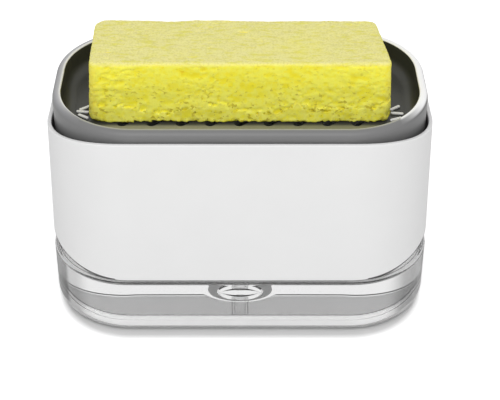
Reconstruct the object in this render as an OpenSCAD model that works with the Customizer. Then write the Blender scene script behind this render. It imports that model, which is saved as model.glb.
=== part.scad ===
// Soap pump caddy: a clear soap reservoir in a white sleeve, with a sprung tray on top.
// Pressing the sponge down on the tray pumps soap up through the middle of the tray.
// Origin: middle of the footprint on the surface it stands on. +X long way, -Y front, +Z up.

/* [Body] */
// Length of the white housing at its lower edge
body_l = 153.4; // [150:0.2:158]
// Width of the white housing at its lower edge
body_w = 89; // [88:0.2:92]
// Corner radius of the white housing at its lower edge
body_r = 32.2; // [31.6:0.1:33]
// How far the housing leans in on each side from bottom to top
body_draft = 1.55; // [1:0.05:1.6]
// Wall thickness of the housing
body_wall = 1.6; // [1.4:0.1:1.6]
// Height of the housing's top edge at the front and back
body_top = 90.5; // [89:0.1:92]
// How far the housing's top edge dips at the two ends
body_top_dip = 7.4; // [5:0.1:9]
// Height of the housing's lower edge at the front and back
body_bottom = 26.7; // [26.4:0.1:28]
// How far the housing's lower edge rises at the two ends
body_bottom_rise = 8.8; // [6:0.1:10]

/* [Reservoir] */
// Height of the shoulder that the housing stands over
shoulder_z = 26; // [25:0.1:26.2]
// Radius of the rounded lower edge
foot_round = 5.5; // [5:0.5:8]
// Height of the reservoir's rim
tank_top = 54; // [52:0.5:54]
// Height of the reservoir's floor, inside
tank_floor = 5.2; // [5:0.1:6]
// Largest radius of the soap well in the floor
well_r = 13.75; // [12:0.25:15]

/* [Tray] */
// Length of the tray
tray_l = 146.5; // [145:0.5:147]
// Width of the tray
tray_w = 81.3; // [80:0.1:82]
// Corner radius of the tray
tray_r = 33; // [31:0.5:34]
// Height of the tray's rim
tray_top = 94.3; // [93:0.1:95]
// Width of the tray's rim
rim_w = 3.3; // [3:0.1:3.5]
// Height of the tray's floor
tray_floor = 83.6; // [83:0.1:84]
// Thickness of the tray's floor
floor_t = 2.2; // [2:0.1:2.4]
// Distance between drain slots
slot_pitch = 11.4; // [11:0.1:12]
// Drain slots in one row
slot_count = 9; // [5:2:9]
// Width of a drain slot
slot_w = 4; // [3:0.1:4.5]
// Lean of the drain slots
slot_angle = 45; // [40:1:50]

/* [Pump] */
// How far the tray goes down when pressed
stroke = 8; // [6:0.5:8]
// Bore radius of the pump cylinder
bore_r = 7.5; // [7:0.1:7.6]
// Radius of the intake tube
tube_r = 3.5; // [3:0.1:3.6]
// Height of the intake tube's lower end
tube_z = 3; // [2.6:0.1:3.5]
// Turns of the return spring
spring_turns = 6; // [4:1:7]
// Wire diameter of the return spring
wire_d = 1.2; // [0.8:0.1:1.3]

/* [Sponge] */
// Length of the sponge
sponge_l = 116.6; // [100:0.2:117]
// Width of the sponge
sponge_w = 35; // [30:1:38]
// Height of the sponge
sponge_h = 26; // [20:1:30]
// Radius of the sponge's upright edges
sponge_r = 3; // [2:0.5:10]

/* [Hidden] */
$fn = 96;

// Corner centres that the housing, the reservoir and the deck share
body_cx = body_l / 2 - body_r;
body_cy = body_w / 2 - body_r;
// Radius of the housing's inside at its lower edge, and the slack of the reservoir in it
body_in_r = body_r - body_wall;
fit_gap = 0.2;
// Radii of the reservoir: the foot, the neck inside the housing and the cavity
foot_r = body_r;
neck_r = body_in_r - fit_gap;
neck_wall = 2.2;
cavity_r = neck_r - neck_wall;
cavity_round = 5;
shoulder_round = 1;
// The reservoir's underside: a flat ring to stand on, round a shallow recess
foot_ring_w = 9;
recess_h = 2.4;
// The soap well: a shallow dish in the floor, and its shape below the floor
well_slope = 4.25;
well_bottom_z = 0.4;
well_wall = 1.8;

// The deck that closes the reservoir and carries the pump
deck_r = body_in_r - body_draft - 0.4;
deck_t = 2.4;
deck_z = tank_top;
deck_top = deck_z + deck_t;
skirt_h = 8;
skirt_wall = 1.6;
skirt_r = cavity_r - drop(tank_top) - 1.2;
seal_h = 2.4;
seal_z = deck_z - 5.2;
seal_depth = 0.8;
seal_proud = 0.8;
vent_r = 1;
vent_x = 30;
// Guide posts under the tray, and the blind sockets in the deck that they slide in
guide_x = 50;
post_r = 3;
post_end_z = deck_top + 0.6;
socket_r = post_r + 0.3;
socket_wall = 1.7;
socket_z = deck_z - 8;
socket_top = deck_top + 7.6;

// The pump cylinder: its shoulders from the bottom up
washer_t = 0.8;
flange_r = 15;
flange_z = deck_top + washer_t;
flange_t = 2;
barrel_r = 9.5;
head_r = 10.5;
head_top = flange_z + flange_t + 4.3;
cage_z = 32;
seat_z = 21.5;
seat_r = 1.4;
chamber_r = 3.6;
nose_r = 6;
spigot_r = 2.3;
spigot_z = seat_z - 7.5;
// The inlet ball rests a hair off its 45 degree seat
ball_gap = 0.03;
inlet_r = 3;
inlet_z = seat_z - seat_r + inlet_r * sqrt(2) + ball_gap;
cage_drop = 3;
cage_t = 1.2;

// The piston, at rest just under the stem guide
guide_z = head_top - 3.5;
guide_flange_t = 1.5;
piston_top = guide_z - 1;
piston_h = 7;
piston_z = piston_top - piston_h;
piston_r = bore_r - 0.2;
oring_r = 1;
oring_z = piston_z + piston_h / 2;
stem_r = 3.5;
stem_bore_r = 1.5;
stem_end = piston_z + 1.6;
wiper_r = 5.3;
wiper_t = 1.6;
// The spring stands on the inlet cage and pushes the piston up
spring_z = cage_z + cage_t;
spring_mean_r = 5.6;
coil_rings = 8;
coil_sides = 6;

// The carrier under the tray, the stem's collar on it and the outlet ball in the stem
floor_z = tray_floor - floor_t;
carrier_z = 74.4;
carrier_t = 3;
carrier_top = carrier_z + carrier_t;
carrier_l = 2 * guide_x + 12;
carrier_w = 11;
carrier_hub_r = 11;
hub_hole_r = 4.6;
hub_boss_r = 7.4;
collar_r = 6.5;
collar_top = carrier_top + 2;
stem_head_r = 4.5;
stem_top = tray_floor - 1.4;
outlet_chamber_r = 2.6;
outlet_seat_z = carrier_z - 0.4;
outlet_r = 2.2;
outlet_z = outlet_seat_z - stem_bore_r + outlet_r * sqrt(2) + ball_gap;
nozzle_r = 7;
nozzle_hole_r = 1.2;
nozzle_t = 1;
recess_r = 7.2;
recess_t = 1.2;
plug_r = 2.55;
plug_z = outlet_z + outlet_r + 1.59;
screw_xs = [-38, -22, 22, 38];
screw_r = 1.25;
screw_head_r = 2.6;
screw_head_t = 1.4;
screw_tip_z = floor_z + 0.8;
screw_boss_r = 3.2;

// The tray's walls
skirt_bottom = 66;
tray_wall = 2;
tray_fillet = 5;
tray_cx = tray_l / 2 - tray_r;
tray_cy = tray_w / 2 - tray_r;
tray_in_r = tray_r - rim_w;
floor_r = tray_in_r - tray_fillet;
rim_round = 1;
rim_in_round = 0.8;
// The slots: length, distance of each row from the middle, and the rows' offset along X
slot_l = 14.3;
slot_row_y = 13.3;
slot_row_x = 3.4;
// Short raised ribs at each end of the floor: middle and lean
rib_w = 1.2;
rib_l = 5;
rib_h = 0.8;
left_ribs = [[-61.3, -6.4, 38], [-61.9, -9.2, -8], [-61.4, -12.6, -35]];
right_ribs = [[61.2, -6.4, 38], [61.7, -10.4, -8], [60.9, -14.6, 24]];

// The sponge lies a hair above the tray's floor
sponge_y = 1.3;
sponge_z = tray_floor + 0.3;
sponge_edge = 1.5;

// How far the housing's outside has leaned in at height z
function drop(z) = body_draft * (z - body_bottom) / (body_top - body_bottom);

// Radius of the cylinder whose arc has this depth over this half width
function arc_r(half, depth) = (half * half + depth * depth) / (2 * depth);

// A rectangle with round corners, flat
module rounded_plan(l, w, r) {
    square([l - 2 * r, w], center = true);
    square([l, w - 2 * r], center = true);
    for (sx = [-1, 1])
        for (sy = [-1, 1])
            translate([sx * (l / 2 - r), sy * (w / 2 - r)])
                circle(r);
}

// A bar with fully round ends, flat
module round_ended_plan(l, w) {
    square([l - w, w], center = true);
    for (s = [-1, 1])
        translate([s * (l - w) / 2, 0])
            circle(w / 2);
}

module plate(l, w, r, z, t) {
    translate([0, 0, z])
        linear_extrude(t)
            rounded_plan(l, w, r);
}

// Carries a flat profile once round: its x is measured outwards from the corner centres
module around(cx, cy) {
    for (i = [0:3]) {
        sx = i == 0 || i == 3 ? 1 : -1;
        sy = i < 2 ? 1 : -1;
        translate([sx * cx, sy * cy, 0])
            rotate(90 * i)
                rotate_extrude(angle = 90)
                    children();
    }
    for (half = [0, 180])
        rotate(half) {
            translate([-cx, cy, 0])
                rotate([90, 0, 90])
                    linear_extrude(2 * cx)
                        children();
            translate([cx, cy, 0])
                rotate([90, 0, 0])
                    linear_extrude(2 * cy)
                        children();
        }
}

// The block between the corner centres, which completes a solid made by around()
module core(cx, cy, z, t) {
    translate([-cx, -cy, z])
        cube([2 * cx, 2 * cy, t]);
}

// A ring of rectangular section round the shared corner centres
module ring_around(r, t, z, h) {
    around(body_cx, body_cy)
        translate([r - t, z])
            square([t, h]);
}

// A washer or tube on the pump's axis
module tube(r, hole_r, z, h) {
    translate([0, 0, z])
        difference() {
            cylinder(r = r, h = h);
            translate([0, 0, -1])
                cylinder(r = hole_r, h = h + 2);
        }
}

module housing() {
    top_half = body_w / 2 - body_draft;
    top_arc = arc_r(top_half, body_top_dip);
    bottom_arc = arc_r(body_w / 2, body_bottom_rise);
    color("#f0f0f0")
        difference() {
            around(body_cx, body_cy)
                polygon([
                    [body_in_r, body_bottom],
                    [body_r, body_bottom],
                    [body_r - body_draft, body_top],
                    [body_in_r - body_draft, body_top]
                ]);
            translate([-body_l, 0, body_top - body_top_dip + top_arc])
                rotate([0, 90, 0])
                    cylinder(r = top_arc, h = 2 * body_l, $fn = 360);
            translate([-body_l, 0, body_bottom + body_bottom_rise - bottom_arc])
                rotate([0, 90, 0])
                    cylinder(r = bottom_arc, h = 2 * body_l, $fn = 720);
        }
}

// Outside of the reservoir's foot: rounded below, with a small round at the shoulder
module foot_profile() {
    difference() {
        square([foot_r, shoulder_z]);
        difference() {
            translate([foot_r - foot_round, 0])
                square(foot_round);
            translate([foot_r - foot_round, foot_round])
                circle(foot_round);
        }
        difference() {
            translate([foot_r - shoulder_round, shoulder_z - shoulder_round])
                square(shoulder_round);
            translate([foot_r - shoulder_round, shoulder_z - shoulder_round])
                circle(shoulder_round, $fn = 48);
        }
    }
}

module cavity_profile() {
    difference() {
        polygon([
            [0, tank_floor],
            [cavity_r, tank_floor],
            [cavity_r, shoulder_z],
            [cavity_r - drop(tank_top), tank_top],
            [0, tank_top]
        ]);
        difference() {
            translate([cavity_r - cavity_round, tank_floor])
                square(cavity_round);
            translate([cavity_r - cavity_round, tank_floor + cavity_round])
                circle(cavity_round);
        }
    }
}

module reservoir() {
    neck_h = tank_top - shoulder_z;
    color("#dfe8ea")
        difference() {
            union() {
                around(body_cx, body_cy)
                    foot_profile();
                core(body_cx, body_cy, 0, shoulder_z);
                around(body_cx, body_cy)
                    polygon([
                        [cavity_r - neck_wall, shoulder_z],
                        [neck_r, shoulder_z],
                        [neck_r - drop(tank_top), tank_top],
                        [cavity_r - neck_wall, tank_top]
                    ]);
            }
            around(body_cx, body_cy)
                cavity_profile();
            core(body_cx, body_cy, tank_floor, shoulder_z - tank_floor + neck_h);
            reservoir_recess();
            translate([0, 0, tank_floor - 3])
                cylinder(r1 = well_r - well_slope - well_wall / 2, r2 = well_r - well_wall / 2, h = 3);
        }
}

// Underside recess, with the well's rounded dish left standing in it
module reservoir_recess() {
    ring_in = foot_r - foot_round - foot_ring_w;
    difference() {
        plate(2 * (body_cx + ring_in), 2 * (body_cy + ring_in), ring_in, -1, recess_h + 1);
        translate([0, 0, well_bottom_z])
            cylinder(r1 = well_r - well_slope, r2 = well_r, h = recess_h - well_bottom_z);
    }
}

module pump_deck() {
    skirt_z = deck_z - skirt_h;
    color("#d9dadb")
        difference() {
            union() {
                plate(2 * (body_cx + deck_r), 2 * (body_cy + deck_r), deck_r, deck_z, deck_t);
                ring_around(skirt_r, skirt_wall, skirt_z, skirt_h);
                for (s = [-1, 1])
                    translate([s * guide_x, 0, socket_z])
                        cylinder(r = socket_r + socket_wall, h = socket_top - socket_z);
            }
            ring_around(skirt_r + 1, seal_depth + 1, seal_z - seal_h / 2, seal_h);
            for (s = [-1, 1])
                translate([s * guide_x, 0, socket_z + socket_wall])
                    cylinder(r = socket_r, h = socket_top);
            translate([0, 0, skirt_z])
                cylinder(r = barrel_r + 0.2, h = skirt_h + 2 * deck_t);
            translate([vent_x, 0, deck_z - 1])
                cylinder(r = vent_r, h = deck_t + 2);
        }
}

module deck_seal() {
    color("#b8bcbf")
        ring_around(skirt_r + seal_proud, seal_proud + seal_depth, seal_z - seal_h / 2, seal_h);
}

module pump_cylinder() {
    color("#e8ebec")
        rotate_extrude()
            polygon([
                [seat_r, spigot_z],
                [spigot_r, spigot_z],
                [spigot_r, seat_z],
                [nose_r, seat_z],
                [nose_r, cage_z - 3],
                [barrel_r, cage_z],
                [barrel_r, flange_z],
                [flange_r, flange_z],
                [flange_r, flange_z + flange_t],
                [head_r, flange_z + flange_t],
                [head_r, head_top],
                [bore_r, head_top],
                [bore_r, cage_z],
                [chamber_r, cage_z],
                [chamber_r, seat_z + chamber_r - seat_r],
                [seat_r, seat_z]
            ]);
}

module cylinder_washer() {
    color("#8f9396")
        tube(flange_r - 1, barrel_r + 0.2, deck_top, washer_t);
}

// Six-sided nut that draws the cylinder's flange down on the deck
module cylinder_nut() {
    nut_h = 6;
    color("#c9cccd")
        translate([0, 0, deck_z - nut_h])
            difference() {
                union() {
                    cylinder(r = 15, h = nut_h - 1.5, $fn = 6);
                    translate([0, 0, nut_h - 1.5])
                        cylinder(r = 14.5, h = 1.5);
                }
                translate([0, 0, -1])
                    cylinder(r = barrel_r + 0.05, h = nut_h + 2);
            }
}

// Drops into the valve chamber and keeps the inlet ball from rising far
module inlet_cage() {
    color("#cfd2d4") {
        tube(bore_r - 0.2, chamber_r - 1, cage_z, cage_t);
        tube(chamber_r - 0.1, chamber_r - 1, cage_z - cage_drop, cage_drop);
        translate([1 - chamber_r, -0.5, cage_z - cage_drop])
            cube([2 * chamber_r - 2, 1, 1]);
    }
}

module inlet_ball() {
    color("#b9bcc0")
        translate([0, 0, inlet_z])
            sphere(inlet_r);
}

module intake_tube() {
    color("#eef1f2")
        tube(tube_r, spigot_r, tube_z, seat_z - tube_z);
}

module stem_guide() {
    color("#c9cccd")
        difference() {
            union() {
                translate([0, 0, guide_z])
                    cylinder(r = bore_r - 0.1, h = head_top - guide_z);
                translate([0, 0, head_top])
                    cylinder(r = head_r, h = guide_flange_t);
            }
            translate([0, 0, guide_z - 1])
                cylinder(r = stem_r + 0.2, h = 8);
            translate([0, 0, head_top + guide_flange_t - wiper_t - 0.2])
                cylinder(r = wiper_r + 0.1, h = 3);
        }
}

module stem_wiper() {
    color("#5d6164")
        tube(wiper_r, stem_r + 0.08, head_top + guide_flange_t - wiper_t - 0.2, wiper_t);
}

// One helix of round wire, its ends a wire's radius clear of the faces that it works on
module return_spring() {
    low = spring_z + wire_d / 2 + 0.05;
    rise = piston_z - spring_z - wire_d - 0.1;
    steps = spring_turns * coil_rings;
    points = [
        for (i = [0:steps])
            for (j = [0:coil_sides - 1])
                let (
                    turn = 360 * i / coil_rings,
                    side = 360 * j / coil_sides,
                    reach = spring_mean_r + wire_d / 2 * cos(side)
                )
                [reach * cos(turn), reach * sin(turn), low + rise * i / steps + wire_d / 2 * sin(side)]
    ];
    skin = [
        for (i = [0:steps - 1])
            for (j = [0:coil_sides - 1])
                let (
                    a = i * coil_sides + j,
                    b = i * coil_sides + (j + 1) % coil_sides
                )
                each [[a, a + coil_sides, b], [b, a + coil_sides, b + coil_sides]]
    ];
    last = steps * coil_sides;
    caps = [
        for (j = [1:coil_sides - 2])
            each [[0, j, j + 1], [last, last + j + 1, last + j]]
    ];
    echo(spring_gap = rise / spring_turns - wire_d);
    color("#a8abad")
        polyhedron(points = points, faces = concat(skin, caps));
}

module piston() {
    groove_r = piston_r + 0.15 - 2 * oring_r - 0.05;
    color("#6f7376")
        difference() {
            translate([0, 0, piston_z])
                cylinder(r = piston_r, h = piston_h);
            translate([0, 0, stem_end])
                cylinder(r = stem_r, h = piston_h);
            translate([0, 0, piston_z - 1])
                cylinder(r = stem_bore_r, h = piston_h);
            tube(piston_r + 1, groove_r, oring_z - oring_r - 0.1, 2 * oring_r + 0.2);
        }
}

module piston_seal() {
    color("#2f3133")
        translate([0, 0, oring_z])
            rotate_extrude()
                translate([piston_r + 0.15 - oring_r, 0])
                    circle(oring_r, $fn = 48);
}

// Hollow stem: collar clamped between carrier and tray, outlet valve seat in its head
module pump_stem() {
    color("#d9dadb")
        rotate_extrude()
            polygon([
                [stem_bore_r, stem_end],
                [stem_r, stem_end],
                [stem_r, carrier_z - 1],
                [stem_head_r, carrier_z],
                [stem_head_r, carrier_top],
                [collar_r, carrier_top],
                [collar_r, collar_top],
                [stem_head_r, collar_top],
                [stem_head_r, stem_top],
                [outlet_chamber_r, stem_top],
                [outlet_chamber_r, outlet_seat_z + outlet_chamber_r - stem_bore_r],
                [stem_bore_r, outlet_seat_z]
            ]);
}

module outlet_ball() {
    color("#b9bcc0")
        translate([0, 0, outlet_z])
            sphere(outlet_r);
}

// Closes the stem, flush in the tray's floor, with the soap hole through it
module soap_nozzle() {
    flange_bottom = tray_floor - recess_t;
    color("#8b8f92")
        difference() {
            union() {
                translate([0, 0, flange_bottom])
                    cylinder(r = nozzle_r, h = nozzle_t);
                translate([0, 0, plug_z])
                    cylinder(r = plug_r, h = flange_bottom - plug_z);
            }
            translate([0, 0, plug_z - 1])
                cylinder(r = nozzle_hole_r, h = 8);
            translate([-4, -0.5, plug_z - 1])
                cube([8, 1, 2]);
        }
}

module tray_carrier() {
    color("#6a6e71")
        difference() {
            union() {
                translate([0, 0, carrier_z])
                    linear_extrude(carrier_t)
                        round_ended_plan(carrier_l, carrier_w);
                translate([0, 0, carrier_z])
                    cylinder(r = carrier_hub_r, h = carrier_t);
                for (s = [-1, 1])
                    translate([s * guide_x, 0, post_end_z])
                        cylinder(r = post_r, h = carrier_z - post_end_z);
            }
            translate([0, 0, carrier_z - 1])
                cylinder(r = hub_hole_r, h = carrier_t + 2);
            for (x = screw_xs)
                translate([x, 0, carrier_z - 1])
                    cylinder(r = screw_r + 0.3, h = carrier_t + 2);
        }
}

module carrier_screw() {
    difference() {
        union() {
            translate([0, 0, carrier_z - screw_head_t])
                cylinder(r = screw_head_r, h = screw_head_t);
            translate([0, 0, carrier_z])
                cylinder(r = screw_r, h = screw_tip_z - carrier_z);
        }
        for (a = [0, 90])
            rotate(a)
                translate([-1.5, -0.3, carrier_z - screw_head_t - 1])
                    cube([3, 0.6, 1.8]);
    }
}

module carrier_screws() {
    color("#a8abad")
        for (x = screw_xs)
            translate([x, 0, 0])
                carrier_screw();
}

// Section of the tray's wall: rounded rim and dished inside, down to the floor's underside
module tray_wall_profile() {
    dish_z = tray_floor + tray_fillet;
    difference() {
        translate([floor_r, floor_z])
            square([tray_r - floor_r, tray_top - floor_z]);
        translate([floor_r - 1, dish_z])
            square([tray_fillet + 1, tray_top]);
        translate([floor_r, dish_z])
            circle(tray_fillet);
        difference() {
            translate([tray_r - rim_round, tray_top - rim_round])
                square(rim_round + 1);
            translate([tray_r - rim_round, tray_top - rim_round])
                circle(rim_round, $fn = 48);
        }
        difference() {
            translate([tray_in_r - 1, tray_top - rim_in_round])
                square([rim_in_round + 1, rim_in_round + 1]);
            translate([tray_in_r + rim_in_round, tray_top - rim_in_round])
                circle(rim_in_round, $fn = 48);
        }
    }
}

module press_tray() {
    color("#7c7e80")
        around(tray_cx, tray_cy)
            tray_wall_profile();
}

// The tray's wall below its floor, inside the housing
module tray_skirt() {
    color("#7c7e80")
        around(tray_cx, tray_cy)
            translate([tray_r - tray_wall, skirt_bottom])
                square([tray_wall, floor_z - skirt_bottom]);
}

// A bar with round ends standing on height z
module bar(x, y, z, angle, w, l, h) {
    translate([x, y, z])
        rotate(angle)
            linear_extrude(h)
                round_ended_plan(l, w);
}

module drain_slots() {
    for (i = [0:slot_count - 1]) {
        x = slot_pitch * (i - (slot_count - 1) / 2);
        for (row = [-1, 1])
            bar(x - row * slot_row_x, row * slot_row_y, floor_z - 1, slot_angle, slot_w, slot_l, floor_t + 2);
    }
}

// The tray's flat floor with its drain slots, end ribs and the bosses under it
module drain_floor() {
    color("#7c7e80")
        difference() {
            union() {
                plate(2 * (tray_cx + floor_r), 2 * (tray_cy + floor_r), floor_r, floor_z, floor_t);
                for (e = concat(left_ribs, right_ribs))
                    bar(e[0], e[1], floor_z + 1, e[2], rib_w, rib_l, floor_t - 1 + rib_h);
                translate([0, 0, collar_top])
                    cylinder(r = hub_boss_r, h = floor_z - collar_top);
                for (x = screw_xs)
                    translate([x, 0, carrier_top])
                        cylinder(r = screw_boss_r, h = floor_z - carrier_top);
            }
            drain_slots();
            translate([0, 0, collar_top - 1])
                cylinder(r = hub_hole_r + 0.1, h = 8);
            translate([0, 0, tray_floor - recess_t])
                cylinder(r = recess_r, h = recess_t + 1);
            for (x = screw_xs)
                translate([x, 0, carrier_top - 1])
                    cylinder(r = screw_r + 0.05, h = screw_tip_z - carrier_top + 1.2);
        }
}

// Section of the sponge's edge, rounded above and below
module sponge_profile() {
    difference() {
        translate([0, sponge_z])
            square([sponge_r, sponge_h]);
        for (z = [sponge_z + sponge_edge, sponge_z + sponge_h - sponge_edge])
            difference() {
                translate([sponge_r - sponge_edge, z < sponge_z + sponge_h / 2 ? z - sponge_edge : z])
                    square(sponge_edge);
                translate([sponge_r - sponge_edge, z])
                    circle(sponge_edge, $fn = 48);
            }
    }
}

module sponge() {
    color("#e8e04a")
        translate([0, sponge_y, 0]) {
            around(sponge_l / 2 - sponge_r, sponge_w / 2 - sponge_r)
                sponge_profile();
            core(sponge_l / 2 - sponge_r, sponge_w / 2 - sponge_r, sponge_z, sponge_h);
        }
}

reservoir();
housing();
pump_deck();
deck_seal();
pump_cylinder();
cylinder_washer();
cylinder_nut();
inlet_cage();
inlet_ball();
intake_tube();
stem_guide();
stem_wiper();
return_spring();
piston();
piston_seal();
pump_stem();
outlet_ball();
soap_nozzle();
tray_carrier();
carrier_screws();
drain_floor();
tray_skirt();
press_tray();
sponge();
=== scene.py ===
import math

import bmesh
import bpy
import numpy as np
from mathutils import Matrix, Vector


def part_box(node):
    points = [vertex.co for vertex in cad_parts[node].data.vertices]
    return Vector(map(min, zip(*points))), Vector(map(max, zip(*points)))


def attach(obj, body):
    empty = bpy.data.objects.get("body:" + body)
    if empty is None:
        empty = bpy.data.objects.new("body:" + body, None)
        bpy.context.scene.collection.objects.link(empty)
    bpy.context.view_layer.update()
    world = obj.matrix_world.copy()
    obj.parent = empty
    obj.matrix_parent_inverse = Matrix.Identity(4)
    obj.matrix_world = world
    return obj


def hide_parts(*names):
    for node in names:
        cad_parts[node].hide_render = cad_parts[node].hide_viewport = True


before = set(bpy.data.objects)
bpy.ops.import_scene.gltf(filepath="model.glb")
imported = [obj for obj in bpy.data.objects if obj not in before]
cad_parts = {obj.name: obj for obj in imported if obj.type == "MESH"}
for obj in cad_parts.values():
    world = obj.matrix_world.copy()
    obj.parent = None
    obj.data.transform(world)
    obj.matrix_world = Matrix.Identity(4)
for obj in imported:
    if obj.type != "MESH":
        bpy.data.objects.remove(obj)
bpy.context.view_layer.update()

MM = 0.001
scene = bpy.context.scene

# Camera, fitted to the outlines in the photograph: metres, degrees, and millimetres for the lens
CAMERA_PLACE = (0, -0.4746, 0.37345)
CAMERA_TILT = 54.5
FOCAL_LENGTH = 100.08
SENSOR_WIDTH = 36
SIDE_SHIFT = 0.02
CLIP_NEAR = 0.01
CLIP_FAR = 20

# Light: one lamp, and a world that is plain white to the view and dimmer for what it lights
LAMP_PLACE = (-0.04, -0.7, 0.75)
LAMP_TARGET = (0, 0, 0.05)
LAMP_SIZE = 0.8
LAMP_POWER = 4.5
WORLD_FILL = 0.64
WORLD_SEEN = 1.0
WORLD_THROUGH = 0.88

# Sizes of the body in millimetres, as in the part
BODY_CX = 44.5
BODY_CY = 12.3
BODY_R = 32.2
BODY_WALL = 1.6
BODY_IN = BODY_R - BODY_WALL
BODY_DRAFT = 1.55
BODY_TOP = 90.5
BODY_DIP = 7.4
BODY_LOW = 26.7
BODY_RISE = 8.8
TOP_ROUND = 0.35
LOW_ROUND = 0.45

# Sizes of the reservoir
FOOT_ROUND = 5.5
FOOT_RING = 9
UNDERSIDE = 2.4
SHOULDER = 26
SHOULDER_ROUND = 1
TANK_TOP = 54
TANK_FLOOR = 5.2
NECK_R = 30.4
CAVITY_R = 28.2
CAVITY_ROUND = 5.0
SOAP_LEVEL = 42.0
SOAP_INSET = 0.03

# Sizes of the tray
TRAY_CX = 40.25
TRAY_CY = 7.65
TRAY_R = 33
TRAY_IN = 29.7
TRAY_TOP = 94.3
TRAY_FLOOR = 83.6
TRAY_UNDER = 81.4
TRAY_COVE = 5
TRAY_OUT_ROUND = 2.4
TRAY_IN_ROUND = 0.5

# The soft greys of the sleeve and the base end this far back, and their corners start this far out
FRONT_TO = 5
CORNER_FROM = 50


# Camera and light

def point_at(ob, target):
    ob.rotation_euler = (Vector(target) - ob.location).to_track_quat("-Z", "Y").to_euler()


def make_camera():
    data = bpy.data.cameras.new("camera")
    data.sensor_width = SENSOR_WIDTH
    data.lens = FOCAL_LENGTH
    data.shift_x = SIDE_SHIFT
    data.clip_start = CLIP_NEAR
    data.clip_end = CLIP_FAR
    cam = bpy.data.objects.new("camera", data)
    cam.location = CAMERA_PLACE
    cam.rotation_euler = (math.radians(CAMERA_TILT), 0, 0)
    scene.collection.objects.link(cam)
    scene.camera = cam


def make_lamp():
    data = bpy.data.lights.new("top_light", "AREA")
    data.shape = "RECTANGLE"
    data.size = LAMP_SIZE
    data.size_y = LAMP_SIZE
    data.energy = LAMP_POWER
    lamp = bpy.data.objects.new("top_light", data)
    lamp.location = LAMP_PLACE
    point_at(lamp, LAMP_TARGET)
    scene.collection.objects.link(lamp)


def make_world():
    world = bpy.data.worlds.new("studio")
    scene.world = world
    world.use_nodes = True
    nt = world.node_tree
    nt.nodes.clear()

    def white(strength):
        n = nt.nodes.new("ShaderNodeBackground")
        n.inputs["Color"].default_value = (1, 1, 1, 1)
        n.inputs["Strength"].default_value = strength
        return n.outputs[0]

    def choose(fac, first, second):
        n = nt.nodes.new("ShaderNodeMixShader")
        for output, socket in zip((fac, first, second), n.inputs):
            nt.links.new(output, socket)
        return n.outputs[0]

    ray = nt.nodes.new("ShaderNodeLightPath").outputs
    seen = nt.nodes.new("ShaderNodeMath")
    seen.operation = "MAXIMUM"
    nt.links.new(ray["Is Camera Ray"], seen.inputs[0])
    nt.links.new(ray["Is Glossy Ray"], seen.inputs[1])
    lit = choose(seen.outputs[0], white(WORLD_FILL), white(WORLD_SEEN))
    last = choose(ray["Is Transmission Ray"], lit, white(WORLD_THROUGH))
    out = nt.nodes.new("ShaderNodeOutputWorld")
    nt.links.new(last, out.inputs["Surface"])


make_camera()
make_world()
make_lamp()
scene.view_settings.view_transform = "Standard"


# Materials

BLACK = (0, 0, 0)


def grey(value):
    return (value, value, value)


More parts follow.
